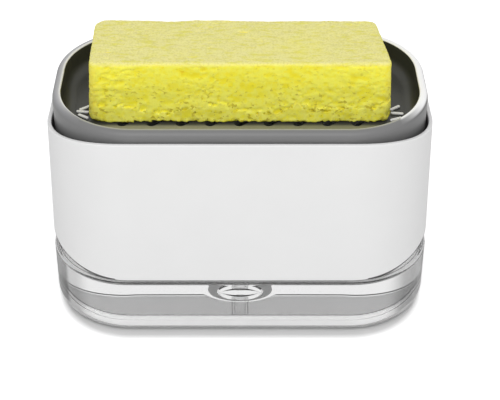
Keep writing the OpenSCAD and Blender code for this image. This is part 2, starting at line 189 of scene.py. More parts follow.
class Shader:
    """A Principled material and short ways to feed its sockets."""

    def __init__(self, name, **values):
        self.mat = bpy.data.materials.new(name)
        self.mat.use_nodes = True
        self.nt = self.mat.node_tree
        self.bsdf = self.nt.nodes["Principled BSDF"]
        for key, value in values.items():
            self.bsdf.inputs[key.replace("_", " ")].default_value = value

    def node(self, kind, **settings):
        n = self.nt.nodes.new("ShaderNode" + kind)
        for key, value in settings.items():
            setattr(n, key, value)
        return n

    def link(self, out, socket):
        self.nt.links.new(out, self.bsdf.inputs[socket] if isinstance(socket, str) else socket)

    def feed(self, value, socket):
        """A node's output is linked to the socket; a number or a colour is written in it."""
        if hasattr(value, "is_output"):
            self.link(value, socket)
        else:
            socket.default_value = (*value, 1) if isinstance(value, tuple) else value

    def where(self):
        return self.node("TexCoord").outputs["Object"]

    def axes(self):
        n = self.node("SeparateXYZ")
        self.link(self.where(), n.inputs[0])
        return n.outputs

    def attribute(self, name):
        return self.node("Attribute", attribute_name=name).outputs["Fac"]

    def math(self, operation, *values):
        n = self.node("Math", operation=operation)
        for value, socket in zip(values, n.inputs):
            self.feed(value, socket)
        return n.outputs[0]

    def noise(self, scale, detail=3.0, rough=0.55, stretch=None):
        n = self.node("TexNoise")
        n.inputs["Scale"].default_value = scale
        n.inputs["Detail"].default_value = detail
        n.inputs["Roughness"].default_value = rough
        place = self.where()
        if stretch:
            m = self.node("Mapping")
            m.inputs["Scale"].default_value = stretch
            self.link(place, m.inputs["Vector"])
            place = m.outputs[0]
        self.link(place, n.inputs["Vector"])
        return n.outputs["Fac"]

    def ramp(self, fac, stops):
        r = self.node("ValToRGB")
        while len(r.color_ramp.elements) < len(stops):
            r.color_ramp.elements.new(0.5)
        for element, (place, colour) in zip(r.color_ramp.elements, stops):
            element.position = place
            element.color = (*colour, 1)
        self.link(fac, r.inputs["Fac"])
        return r.outputs["Color"]

    def grey_ramp(self, fac, stops):
        return self.ramp(fac, [(place, grey(value)) for place, value in stops])

    def mix(self, fac, a, b):
        m = self.node("Mix", data_type="RGBA")
        for value, socket in ((fac, m.inputs[0]), (a, m.inputs[6]), (b, m.inputs[7])):
            self.feed(value, socket)
        return m.outputs[2]

    def range(self, fac, lo, hi, new_lo, new_hi, smooth=False):
        m = self.node("MapRange")
        m.interpolation_type = "SMOOTHSTEP" if smooth else "LINEAR"
        for key, value in zip(("From Min", "From Max", "To Min", "To Max"), (lo, hi, new_lo, new_hi)):
            m.inputs[key].default_value = value
        self.link(fac, m.inputs["Value"])
        return m.outputs["Result"]

    def bump(self, height, strength, distance):
        b = self.node("Bump")
        b.inputs["Strength"].default_value = strength
        b.inputs["Distance"].default_value = distance
        self.link(height, b.inputs["Height"])
        self.link(b.outputs["Normal"], "Normal")

    def vary(self, colour, spread, scale):
        """The colour, a little lighter and darker in soft patches."""
        lo = tuple(c * (1 - spread) for c in colour)
        hi = tuple(min(1, c * (1 + spread)) for c in colour)
        self.link(self.ramp(self.noise(scale), [(0.3, lo), (0.7, hi)]), "Base Color")

    def rough(self, lo, hi, scale):
        self.link(self.range(self.noise(scale, 4.0), 0.3, 0.7, lo, hi), "Roughness")


def moulded(name, colour, rough, spread=0.02, **more):
    s = Shader(name, **more)
    s.vary(colour, spread, 55)
    s.rough(rough - 0.03, rough + 0.05, 140)
    s.bump(s.noise(900, 2.0), 0.12, 0.00002)
    return s.mat


def white_plastic(name, colour, rough, glow_weight, glow_depth):
    """White moulding. Light spreads below its surface."""
    below = {"Subsurface_Weight": glow_weight, "Subsurface_Scale": glow_depth, "Subsurface_Radius": (1, 1, 1)}
    return moulded(name, colour, rough, 0.008, **below)


# The painted shadow line on the neck, in metres. The neck stands back from the sleeve, so the line
# is lower than the sleeve's edge by about as much. The edge falls with the square of y, times the bend
NECK_BACK = 0.0015
EDGE_BEND = 4.444
LINE_TOP = 0.034
LINE_FOOT = 0.0332


def neck_shadow_line(s):
    """Painted shadow: nearly 1 on the neck just under the sleeve's arched edge, and 0 lower down."""
    y, z = s.axes()[1:]
    back = s.math("SUBTRACT", y, NECK_BACK)
    arch = s.math("MULTIPLY_ADD", s.math("MULTIPLY", back, back), EDGE_BEND, z)
    line = s.range(arch, LINE_FOOT, LINE_TOP, 0.0, 0.96, True)
    return s.math("MULTIPLY", line, s.attribute("neck"))


def clear(name, ior, tint, shaded=False, outer=False):
    """Clear plastic or soap. The mesh's attributes say where shade is painted on it: grey where the outside
    turns from the view, a shadow line on the neck, and soft greys.
    """
    s = Shader(name, Transmission_Weight=1.0, Roughness=0.0, IOR=ior)
    body = s.ramp(s.noise(18, 2.0), [(0.35, grey(tint)), (0.65, grey(min(1, tint * 1.008)))])
    if outer:
        # painted shade: grey where the outside turns from the view
        turned = s.range(s.node("LayerWeight").outputs["Facing"], 0.365, 0.52, 0.0, 1.0, True)
        body = s.mix(s.math("MULTIPLY", turned, s.attribute("edge")), body, grey(0.3))
        # painted shadow line on the neck
        body = s.mix(neck_shadow_line(s), body, BLACK)
    if shaded:
        body = s.mix(s.attribute("shade"), body, BLACK)
    s.link(body, "Base Color")
    return s.mat


def sheer(name, colour):
    """Thin part-clear tube: nearly gone where it faces the view, firmer at its sides and lower end."""
    s = Shader(name, Roughness=0.25)
    s.vary(colour, 0.03, 70)
    side = s.range(s.node("LayerWeight").outputs["Facing"], 0.5, 0.92, 0.02, 0.85, True)
    low_end = s.range(s.axes()[2], 0.0045, 0.006, 0.26, 0.0, True)
    s.link(s.math("MAXIMUM", side, low_end), "Alpha")
    return s.mat


def milky(name, colour, weight, rough):
    """Part-clear moulding. Its thin spigot, inside the tube, nearly goes."""
    s = Shader(name, Transmission_Weight=weight, IOR=PLASTIC_IOR)
    s.vary(colour, 0.015, 70)
    s.link(s.range(s.axes()[2], 0.0205, 0.0225, 0.03, 1.0), "Alpha")
    s.rough(rough - 0.03, rough + 0.04, 120)
    return s.mat


def steel(name):
    s = Shader(name, Metallic=1.0)
    s.vary((0.62, 0.62, 0.63), 0.04, 90)
    s.rough(0.2, 0.32, 300)
    s.bump(s.noise(1400, 2.0, stretch=(1, 1, 0.15)), 0.08, 0.00001)
    return s.mat


def rubber(name, colour, rough):
    s = Shader(name)
    s.vary(colour, 0.08, 80)
    s.rough(rough - 0.05, rough + 0.05, 200)
    s.bump(s.noise(700, 3.0), 0.2, 0.00003)
    return s.mat


PLASTIC_IOR = 1.49
mats = {
    "white_plastic": white_plastic("white_plastic", grey(0.79), 0.34, 0.2, 0.002),
    # painted light: a lighter copy of the white plastic, its light spread deep, for the sleeve's inside seen
    # through the base
    "white_inside_lit": white_plastic("white_inside_lit", grey(0.995), 0.4, 1.0, 0.035),
    # painted shadow: the dark line along the sleeve's lower edge
    "edge_shade": moulded("edge_shade", grey(0.11), 0.8, 0.03, Specular_IOR_Level=0.0),
    # painted shade in the gap between the tray and the sleeve's inner wall
    "gap_shade": moulded("gap_shade", grey(0.4), 0.6, 0.03),
    # painted reflection: a grey, part-see-through ring under the well
    "ring_painted_reflection": moulded("ring_painted_reflection", grey(0.9), 0.6, 0.1, Alpha=0.74),
    "clear_plastic": clear("clear_plastic", PLASTIC_IOR, 0.985, shaded=True, outer=True),
    # a wall that soap wets bends no light, because plastic and soap are taken to bend it alike
    "wetted": clear("wetted_wall", 1.0, 0.997, shaded=True),
    # painted shade: the soap's surface is tinted dark, so that what is seen through it looks shaded
    "soap_top_shaded": clear("soap_surface_shaded", PLASTIC_IOR, 0.35),
    "deck_plastic": moulded("deck_plastic", (0.72, 0.73, 0.74), 0.5),
    "grey_plastic": moulded("grey_plastic", (0.2, 0.21, 0.21), 0.5, 0.04),
    "tray_plastic": moulded("tray_plastic", grey(0.2), 0.4, 0.03),
    "pump_plastic": milky("pump_plastic", (0.86, 0.88, 0.89), 0.35, 0.35),
    "tube_plastic": sheer("tube_plastic", grey(0.45)),
    "silicone": rubber("silicone", (0.5, 0.51, 0.52), 0.55),
    "black_rubber": rubber("black_rubber", grey(0.03), 0.6),
    "steel": steel("steel"),
}


# Mesh helpers

def stations(cx, cy, arc_steps, along_x, along_y):
    """Once round the corner centres: arrays of centre points and outward normals."""
    centres, normals = [], []
    corners = [(1, 1), (-1, 1), (-1, -1), (1, -1)]
    for i, (sx, sy) in enumerate(corners):
        for k in range(arc_steps + 1):
            a = math.radians(90 * i + 90 * k / arc_steps)
            centres.append((sx * cx, sy * cy))
            normals.append((math.cos(a), math.sin(a)))
        nx, ny = corners[(i + 1) % 4]
        steps = along_x if i % 2 == 0 else along_y
        a = math.radians(90 * i + 90)
        for k in range(1, steps):
            t = k / steps
            centres.append((cx * (sx + (nx - sx) * t), cy * (sy + (ny - sy) * t)))
            normals.append((math.cos(a), math.sin(a)))
    return np.array(centres), np.array(normals)


class Sweep:
    """Rows of points that go once round a plan with rounded corners."""

    def __init__(self, cx, cy, *steps):
        self.c, self.n = stations(cx, cy, *steps)
        self.count = len(self.c)

    def row(self, reach, z):
        """Points at a reach from the corner centres and a height; both are numbers or arrays."""
        xy = self.c + self.n * np.reshape(reach * np.ones(self.count), (-1, 1))
        return np.c_[xy, z * np.ones(self.count)]

    def rows(self, profile):
        return [self.row(reach, z) for reach, z in profile]

    def on_circle(self, r, z, seen_from=22):
        """One point per station on a circle round the axis, each in its station's direction."""
        p = self.c + self.n * seen_from
        a = np.arctan2(p[:, 1], p[:, 0])
        return np.c_[r * np.cos(a), r * np.sin(a), z * np.ones(len(a))]

    def skin(self, rows, closed=False, capped=False):
        """Faces between the rows. closed joins the last row to the first, capped fills both of them."""
        m = self.count
        last = len(rows) if closed else len(rows) - 1
        faces = []
        for k in range(last):
            a, b = k * m, (k + 1) % len(rows) * m
            faces += [(a + i, a + (i + 1) % m, b + (i + 1) % m, b + i) for i in range(m)]
        if capped:
            end = len(rows) * m
            faces.append(tuple(range(m)))
            faces.append(tuple(range(end - m, end))[::-1])
        return faces


def arc(cr, cz, r, a0, a1, steps):
    """Points (reach, height) along an arc, degrees."""
    angles = [math.radians(a0 + (a1 - a0) * k / steps) for k in range(steps + 1)]
    return [(cr + r * math.cos(a), cz + r * math.sin(a)) for a in angles]


def make_object(name, rows, faces, materials):
    me = bpy.data.meshes.new(name)
    me.from_pydata((np.concatenate(rows) * MM).tolist(), [], faces)
    me.update()
    bm = bmesh.new()
    bm.from_mesh(me)
    bmesh.ops.recalc_face_normals(bm, faces=bm.faces)
    bm.to_mesh(me)
    bm.free()
    for m in materials:
        me.materials.append(m)
    me.polygons.foreach_set("use_smooth", [True] * len(me.polygons))
    ob = bpy.data.objects.new(name, me)
    scene.collection.objects.link(ob)
    return ob


def set_attribute(me, name, values):
    at = me.attributes.new(name, "FLOAT", "POINT")
    at.data.foreach_set("value", np.asarray(values).astype(np.float32))


def drop(z):
    """How far the drafted walls have come in at a height."""
    return BODY_DRAFT * (z - BODY_LOW) / (BODY_TOP - BODY_LOW)


def arc_radius(half, depth):
    return (half * half + depth * depth) / (2 * depth)


# Housing

# The outside white, a lighter inside copy that paints light, a painted shadow line and painted shade in the
# gap
HOUSING_PARTS = ["white_plastic", "white_inside_lit", "edge_shade", "gap_shade"]
OUTER, INNER_LIT, EDGE_SHADOW, GAP_SHADED = range(4)
WALL_LEVELS = (0, 0.006, 0.06, 0.2, 0.4, 0.6, 0.8, 0.94, 0.99, 1)
WALL_LEVELS_IN = (0.99, 0.94, 0.8, 0.6, 0.4, 0.2, 0.06, 0.01, 0)
ROUND_STEPS = 5
GAP_ROWS = 3


def housing_edges(sweep):
    """Height of the two edges at each station: at both ends the top dips and the lower edge rises."""
    half = BODY_CY + BODY_R - BODY_DRAFT
    rt = arc_radius(half, BODY_DIP)
    y = sweep.c[:, 1] + sweep.n[:, 1] * (BODY_R - BODY_DRAFT - BODY_WALL / 2)
    top = BODY_TOP - BODY_DIP + rt - np.sqrt(rt * rt - np.minimum(y * y, half * half))
    rb = arc_radius(BODY_CY + BODY_R, BODY_RISE)
    y = sweep.c[:, 1] + sweep.n[:, 1] * (BODY_R - BODY_WALL / 2)
    low = BODY_LOW + BODY_RISE - rb + np.sqrt(rb * rb - y * y)
    return top, low


def build_housing():
    sweep = Sweep(BODY_CX, BODY_CY, 40, 28, 28)
    top, low = housing_edges(sweep)
    rows = []

    def wall(reach, levels):
        for t in levels:
            z = low + LOW_ROUND + (top - TOP_ROUND - low - LOW_ROUND) * t
            rows.append(sweep.row(reach - drop(z), z))

    def rounding(reach, base, radius, a0, first, last):
        """A quarter round of an edge: rows first to last, from the angle a0."""
        for k in range(first, last):
            a = math.radians(a0 + 90 * k / ROUND_STEPS)
            z = base + radius * math.sin(a)
            rows.append(sweep.row(reach - drop(z) + radius * math.cos(a), z))

    wall(BODY_R, WALL_LEVELS)
    rounding(BODY_R - TOP_ROUND, top - TOP_ROUND, TOP_ROUND, 0, 1, ROUND_STEPS + 1)
    rounding(BODY_IN + TOP_ROUND, top - TOP_ROUND, TOP_ROUND, 90, 0, ROUND_STEPS + 1)
    wall(BODY_IN, WALL_LEVELS_IN)
    rounding(BODY_IN + LOW_ROUND, low + LOW_ROUND, LOW_ROUND, 180, 1, ROUND_STEPS + 1)
    rounding(BODY_R - LOW_ROUND, low + LOW_ROUND, LOW_ROUND, 270, 0, ROUND_STEPS)
    ob = make_object("housing_shell", rows, sweep.skin(rows, closed=True), [mats[p] for p in HOUSING_PARTS])

    outline = sweep.c + sweep.n * BODY_R
    first_in = len(WALL_LEVELS) + 2 * ROUND_STEPS + 1
    part = []
    for k in range(len(rows)):
        # the lower roundings: a painted shadow outside at the front; at the back both take the lighter inside
        # copy, which paints light
        if k >= len(rows) - ROUND_STEPS:
            part += [EDGE_SHADOW if y < FRONT_TO else INNER_LIT for y in outline[:, 1]]
        elif k >= len(rows) - 2 * ROUND_STEPS:
            part += [OUTER if y < FRONT_TO else INNER_LIT for y in outline[:, 1]]
        elif k == 0:
            # painted shadow: a thin dark line at the corners, where the edge leaves the shoulder
            part += [EDGE_SHADOW if y < FRONT_TO and abs(x) > CORNER_FROM else OUTER for x, y in outline]
        elif first_in <= k < first_in + GAP_ROWS:
            # painted shade on the inside just under the lip
            part += [GAP_SHADED] * sweep.count
        else:
            # the outer wall in plain white, the inner one in the lighter copy that paints light
            part += [INNER_LIT if k > first_in else OUTER] * sweep.count
    ob.data.polygons.foreach_set("material_index", part)
    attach(ob, "base")
    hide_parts("housing")


build_housing()


# Reservoir and soap

RESERVOIR_PARTS = ["clear_plastic", "wetted", "ring_painted_reflection"]
DRY, WET, PAINTED_RING = range(3)

# Radius and height of the well in the reservoir's floor, from outside, and of its lower side
WELL = (
    (16.0, TANK_FLOOR), (13.35, TANK_FLOOR), (13.1, 5.14), (12.88, 4.98), (12.7, 4.78),
    (9.0, 2.5), (8.8, 2.3), (8.5, 2.22), (8.1, 2.2), (4.0, 2.2), (0.3, 2.2),
)
WELL_UNDER = (
    (0.3, 0.4), (4.0, 0.4), (8.6, 0.4), (9.1, 0.43), (9.45, 0.6), (9.7, 0.82),
    (13.2, 1.95), (13.5, 2.2), (13.8, 2.36), (14.2, UNDERSIDE), (16.5, UNDERSIDE),
)
# The lower side slopes between these two of its rows, and a grey ring is painted there as a reflection
SLOPE_FROM, SLOPE_TO = 5, 7


def cavity_reach(z):
    return CAVITY_R - (drop(TANK_TOP) * (z - SHOULDER) / (TANK_TOP - SHOULDER) if z > SHOULDER else 0)


def cavity_rows(sweep, inset):
    """Rows down the cavity's wall from the soap's level, across its floor and into the well."""
    rim, floor = CAVITY_R - inset - CAVITY_ROUND, TANK_FLOOR + inset
    levels = (SOAP_LEVEL, 34, 28, SHOULDER, 20, 14, floor + CAVITY_ROUND + 0.2)
    rows = sweep.rows((cavity_reach(z) - inset, z) for z in levels)
    rows += sweep.rows(arc(rim, floor + CAVITY_ROUND, CAVITY_ROUND, 0, -90, 14))
    rows.append(sweep.row(rim - 0.4, floor))
    for r, z in WELL:
        rows.append(sweep.on_circle(r - inset * 0.7 if r > 1 else r, z + inset))
    return rows


def outside_rows(sweep):
    """Rows from the middle of the underside out to the foot, up the outside and over the top."""
    foot, neck = BODY_R, NECK_R
    ring = foot - FOOT_ROUND - FOOT_RING
    rows = [sweep.on_circle(r, z) for r, z in WELL_UNDER]
    rows += sweep.rows([(ring - 0.9, UNDERSIDE)] + arc(ring - 0.4, UNDERSIDE - 0.4, 0.4, 90, 0, 4))
    rows += sweep.rows([(ring, 1.0)] + arc(ring + 0.3, 0.3, 0.3, 180, 270, 4))
    rows += sweep.rows([(ring + 0.9, 0), (ring + FOOT_RING - 0.6, 0)])
    rows += sweep.rows(arc(foot - FOOT_ROUND, FOOT_ROUND, FOOT_ROUND, -90, 0, 20))
    rows += sweep.rows([(foot, FOOT_ROUND + 0.4), (foot, 16), (foot, 24.6)])
    rows += sweep.rows(arc(foot - SHOULDER_ROUND, SHOULDER - SHOULDER_ROUND, SHOULDER_ROUND, 0, 90, 8))
    rows += sweep.rows([(neck + 0.1, SHOULDER), (neck + 0.02, SHOULDER + 0.05)])
    rows += sweep.rows((neck - drop(z), z) for z in (27, 30, 34, 44, 53.4))
    top_out, top_in = neck - drop(TANK_TOP), cavity_reach(TANK_TOP)
    rows += sweep.rows([(top_out - 0.12, TANK_TOP - 0.15), (top_out - 0.4, TANK_TOP)])
    rows += sweep.rows([(top_in + 0.4, TANK_TOP), (top_in + 0.12, TANK_TOP - 0.15)])
    rows += sweep.rows((cavity_reach(z), z) for z in (53.4, 48))
    return rows


def shade_reservoir(me):
    """Attributes for painted shade: the soft greys that the front of the base shows."""
    place = np.array([v.co[:] for v in me.vertices]) / MM
    x, y, z = place.T
    reach = np.hypot(np.maximum(np.abs(x) - BODY_CX, 0), np.maximum(np.abs(y) - BODY_CY, 0))
    front = y < FRONT_TO
    on_neck = reach > NECK_R - 1.5
    to_end = np.clip((np.abs(x) - 42) / 22, 0, 1)

    # painted shade on the shoulder's top and the neck: less towards the ends, more with height there
    rise = np.clip((z - 26.5) / 5.5, 0, 1)
    shoulder = (z > 25.15) & (z < 45) & front & on_neck
    shade = np.where(shoulder, 0.74 - to_end * (0.4 - 0.4 * rise), 0)
    # painted shade: the wall goes grey at its two ends, all at once on the left and slowly on the right
    wall = (z > 5.6) & (z < 25.1) & front & (reach > BODY_R - 0.3)
    left = 0.88 * np.clip((-x - 69.5) / 1.2, 0, 1)
    right = 0.6 * np.clip((x - 58) / 12, 0, 1)
    shade = np.maximum(np.where(wall, np.maximum(left, right), 0), shade)
    set_attribute(me, "shade", shade)
    # the neck, where its painted shadow line may fall
    set_attribute(me, "neck", (z > 26.01) & front & on_neck)

    # painted shade where it turns away from the view, but not high up at the back and not in the well
    plain = ((z > 20) & (y > FRONT_TO)) | (np.hypot(x, y) < 15)
    wall_end = (z > 8) & (np.abs(x) > CORNER_FROM)
    edge = np.where(z > 24.8, 1 - 0.6 * to_end, np.where(wall_end, 0.75, 1))
    set_attribute(me, "edge", np.where(plain, 0, edge))


def build_reservoir(sweep):
    outside = outside_rows(sweep)
    rows = outside + cavity_rows(sweep, 0)
    faces = sweep.skin(rows, capped=True)
    ob = make_object("reservoir_shell", rows, faces, [mats[p] for p in RESERVOIR_PARTS])
    me = ob.data
    wet_from = len(outside) * sweep.count
    part = []
    for p in me.polygons:
        on_surface = max(abs(me.vertices[v].co.z) for v in p.vertices) < 1e-6
        part.append(WET if min(p.vertices) >= wet_from or on_surface else DRY)
    slope_from, slope_to = SLOPE_FROM * sweep.count, SLOPE_TO * sweep.count
    part[slope_from:slope_to] = [PAINTED_RING] * (slope_to - slope_from)
    me.polygons.foreach_set("material_index", part)
    shade_reservoir(me)
    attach(ob, "base")
    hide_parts("reservoir")


def build_soap(sweep):
    top = sweep.rows([(12, SOAP_LEVEL), (2, SOAP_LEVEL)])
    rows = top + cavity_rows(sweep, SOAP_INSET)
    soap = make_object("soap_fill", rows, sweep.skin(rows, capped=True), [mats["soap_top_shaded"], mats["wetted"]])
    wet_from = len(top) * sweep.count
    wet = [int(min(p.vertices) >= wet_from) for p in soap.data.polygons]
    soap.data.polygons.foreach_set("material_index", wet)
    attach(soap, "base")


reservoir_sweep = Sweep(BODY_CX, BODY_CY, 36, 40, 16)
build_reservoir(reservoir_sweep)
build_soap(reservoir_sweep)


# Tray

# Painted highlight on the rim: its grey from the outer edge, 0, to the inner edge, 1
RIM_LEFT_FRONT_HIGHLIGHT = [(0.0, 0.18), (0.72, 0.22), (0.84, 0.36), (0.94, 0.62)]
RIM_RIGHT_HIGHLIGHT = [(0.0, 0.14), (0.06, 0.15), (0.14, 0.75), (0.2, 1.0)]
RIM_RIGHT_FRONT_HIGHLIGHT = [(0.0, 0.18), (0.5, 0.2), (0.62, 0.5), (0.74, 0.9)]


def dish_colour_and_shade(s, place, middle):
    """Dark inside wall and floor, the wall darker up it as painted shade, with a painted reflection along the
    front of the floor: a lighter, yellowish strip.
    """
    x, y, z = place
    wall = s.mix(s.range(z, 0.0838, 0.0885, 0.0, 1.0, True), (0.062, 0.063, 0.055), (0.038, 0.039, 0.027))
    light = s.mix(s.range(x, -0.035, 0.03, 0.0, 1.0, True), (0.28, 0.275, 0.23), (0.235, 0.235, 0.185))
    # painted reflection of the sponge: a lighter strip along the front of the floor
    strip = s.mix(s.range(y, -0.0195, -0.0172, 1.0, 0.0, True), wall, light)
    return s.mix(middle, wall, strip)


def rim_colour_and_highlight(s, place, middle):
    """Painted highlight: the rim gets lighter towards its inner edge, and more so at its right end."""
    x, y = place[:2]
    roll = s.attribute("roll")
    rim_left_highlight = [(0.0, grey(0.2)), (0.3, (0.3, 0.3, 0.31)), (0.7, (0.47, 0.47, 0.48)), (0.9, grey(0.85))]
    rim_front_highlight = [(0.0, grey(0.18)), (0.6, grey(0.2)), (0.9, (0.5, 0.5, 0.43))]
    forward = s.range(y, -0.034, -0.017, 1.0, 0.0, True)
    left = s.mix(forward, s.ramp(roll, rim_left_highlight), s.grey_ramp(roll, RIM_LEFT_FRONT_HIGHLIGHT))
    right = s.mix(forward, s.grey_ramp(roll, RIM_RIGHT_HIGHLIGHT), s.grey_ramp(roll, RIM_RIGHT_FRONT_HIGHLIGHT))
    ends = s.mix(s.range(x, -0.02, 0.02, 0.0, 1.0, True), left, right)
    mid_front = s.math("MULTIPLY", middle, s.range(y, -0.012, -0.004, 1.0, 0.0))
    edge = s.mix(mid_front, ends, s.ramp(roll, rim_front_highlight))
    outside = s.grey_ramp(s.noise(60), [(0.3, 0.185), (0.7, 0.196)])
    return s.mix(s.range(roll, 0.0, 0.03, 0.0, 1.0), outside, edge)


def tray_material(name, rim):
    """Grey plastic of the rim with its dished wall, or of the floor, with a painted white highlight on its
    rib tops.
    """
    s = Shader(name, Roughness=0.38, Specular_IOR_Level=0.35)
    place = s.axes()
    middle = s.range(s.math("ABSOLUTE", place[0]), 0.0600, 0.0612, 1.0, 0.0, True)
    dish = dish_colour_and_shade(s, place, middle)
    if rim:
        s.link(s.mix(s.attribute("dish"), rim_colour_and_highlight(s, place, middle), dish), "Base Color")
        s.bump(s.noise(900, 2.0), 0.1, 0.00002)
    else:
        # painted highlight: the rib tops are white
        s.link(s.mix(s.range(place[2], 0.0838, 0.0841, 0.0, 1.0), dish, grey(0.97)), "Base Color")
    return s.mat


mats["tray_rim"] = tray_material("tray_rim", True)
mats["tray_floor"] = tray_material("tray_floor", False)


def build_tray():
    """The rim, the dished wall and the cove, in one skin round the tray."""
    sweep = Sweep(TRAY_CX, TRAY_CY, 44, 28, 10)
    top, under = TRAY_TOP, TRAY_UNDER
    floor_r = TRAY_IN - TRAY_COVE
    cove = TRAY_COVE - 0.35
    profile = [(TRAY_R, z) for z in (under, under + 0.1, 84.5, 88, 91.5)]
    profile += arc(TRAY_R - TRAY_OUT_ROUND, top - TRAY_OUT_ROUND, TRAY_OUT_ROUND, 0, 90, 12)
    profile += [(TRAY_R - TRAY_OUT_ROUND - 0.15, top), (TRAY_IN + TRAY_IN_ROUND + 0.1, top)]
    profile += arc(TRAY_IN + TRAY_IN_ROUND, top - TRAY_IN_ROUND, TRAY_IN_ROUND, 90, 180, 7)
    first_in = len(profile) - 1
    profile += [(TRAY_IN, 92.2), (TRAY_IN, 90.4)]
    profile += arc(TRAY_IN - cove, TRAY_FLOOR + cove, cove, 0, -90, 16)
    profile += [(floor_r + 0.2, TRAY_FLOOR), (floor_r + 0.04, TRAY_FLOOR)]
    profile += [(floor_r + 0.01, TRAY_FLOOR - 0.03), (floor_r, under + 0.1), (floor_r, under)]
    profile += [(floor_r + 0.4, under), (TRAY_R - 0.4, under)]
    rows = sweep.rows(profile)
    ob = make_object("tray_rim", rows, sweep.skin(rows, closed=True), [mats["tray_rim"]])
    # roll goes from 0 outside to 1 inside across the rim, and dish is 1 inside it
    width = TRAY_R - TRAY_IN
    roll = [min(max((TRAY_R - r) / width, 0), 1) if z > 88 else 0 for r, z in profile]
    dish = [k >= first_in and r < TRAY_IN + 0.02 and z > under + 1 for k, (r, z) in enumerate(profile)]
    set_attribute(ob.data, "roll", np.repeat(roll, sweep.count))
    set_attribute(ob.data, "dish", np.repeat(dish, sweep.count))
    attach(ob, "press_head")
    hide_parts("press_tray")


build_tray()


# Sponge

GRID_STEP = 0.45
GRID_MARGIN = 1.6
SPONGE_SEED = 11
SPONGE_INSET = 0.15
SPONGE_CORNER = 2.8
SPONGE_EDGE = 1.4
FRAY_HEIGHT = 2.0
# Pores on the long and the short sides, and larger hollows on the long ones
LONG_PORES = 1000
SHORT_PORES = 290
LONG_HOLLOWS = 60
# Marks and larger hollows on the top, and the same below
TOP_MARKS = 520
TOP_HOLLOWS = 26


def nets_slices(axis):
    """The slices of a grid that hold the two ends of each of its edges along the axis."""
    a = [slice(None)] * 3
    b = [slice(None)] * 3
    a[axis], b[axis] = slice(0, -1), slice(1, None)
    return tuple(a), tuple(b)


def surface_nets(f, origin, h):
    """Points and quads on the zero level of a grid of values, negative inside."""
    inside = f < 0
    nx, ny, nz = f.shape
    total = np.zeros((nx - 1, ny - 1, nz - 1, 3), np.float32)
    count = np.zeros((nx - 1, ny - 1, nz - 1), np.float32)
    for axis in range(3):
        a, b = nets_slices(axis)
        cross = inside[a] != inside[b]
        t = np.where(cross, f[a] / np.where(cross, f[a] - f[b], 1), 0)
        u, v = [d for d in range(3) if d != axis]
        for du in (0, 1):
            for dv in (0, 1):
                s = [slice(None)] * 3
                s[u] = slice(du, f.shape[u] - 1 + du)
                s[v] = slice(dv, f.shape[v] - 1 + dv)
                here = cross[tuple(s)]
                total[..., axis] += np.where(here, t[tuple(s)], 0)
                total[..., u] += np.where(here, du, 0)
                total[..., v] += np.where(here, dv, 0)
                count += here
    used = count > 0
    index = -np.ones(used.shape, np.int64)
    index[used] = np.arange(used.sum())
    points = origin + (np.argwhere(used) + total[used] / count[used][:, None]) * h
    faces = []
    for axis in range(3):
        a, b = nets_slices(axis)
        u, v = [d for d in range(3) if d != axis]
        for flip, mask in ((False, inside[a] & ~inside[b]), (True, ~inside[a] & inside[b])):
            e = np.argwhere(mask)
            e = e[(e[:, u] > 0) & (e[:, v] > 0) & (e[:, u] < f.shape[u] - 1) & (e[:, v] < f.shape[v] - 1)]
            quad = []
            for du, dv in ((-1, -1), (0, -1), (0, 0), (-1, 0)):
                q = e.copy()
                q[:, u] += du
                q[:, v] += dv
                quad.append(index[tuple(q.T)])
            quad = np.stack(quad, 1)
            faces.append(quad[:, ::-1] if flip != (axis == 1) else quad)
    return points, np.concatenate(faces)


def rounded(a, b, radius):
    """Distance to a corner of two faces, rounded by the radius; a and b are distances to the faces."""
    a, b = a + radius, b + radius
    return np.hypot(np.maximum(a, 0), np.maximum(b, 0)) + np.minimum(np.maximum(a, b), 0) - radius


def turned(normal, spin):
    """Axes of a pore that faces along the normal, turned about it."""
    normal = np.array(normal, float)
    up = np.array([0, 0, 1.0]) if abs(normal[2]) < 0.9 else np.array([0, 1.0, 0])
    u = np.cross(up, normal)
    u /= np.linalg.norm(u)
    v = np.cross(normal, u)
    cos, sin = math.cos(spin), math.sin(spin)
    return np.stack([u * cos + v * sin, v * cos - u * sin, normal], 1)


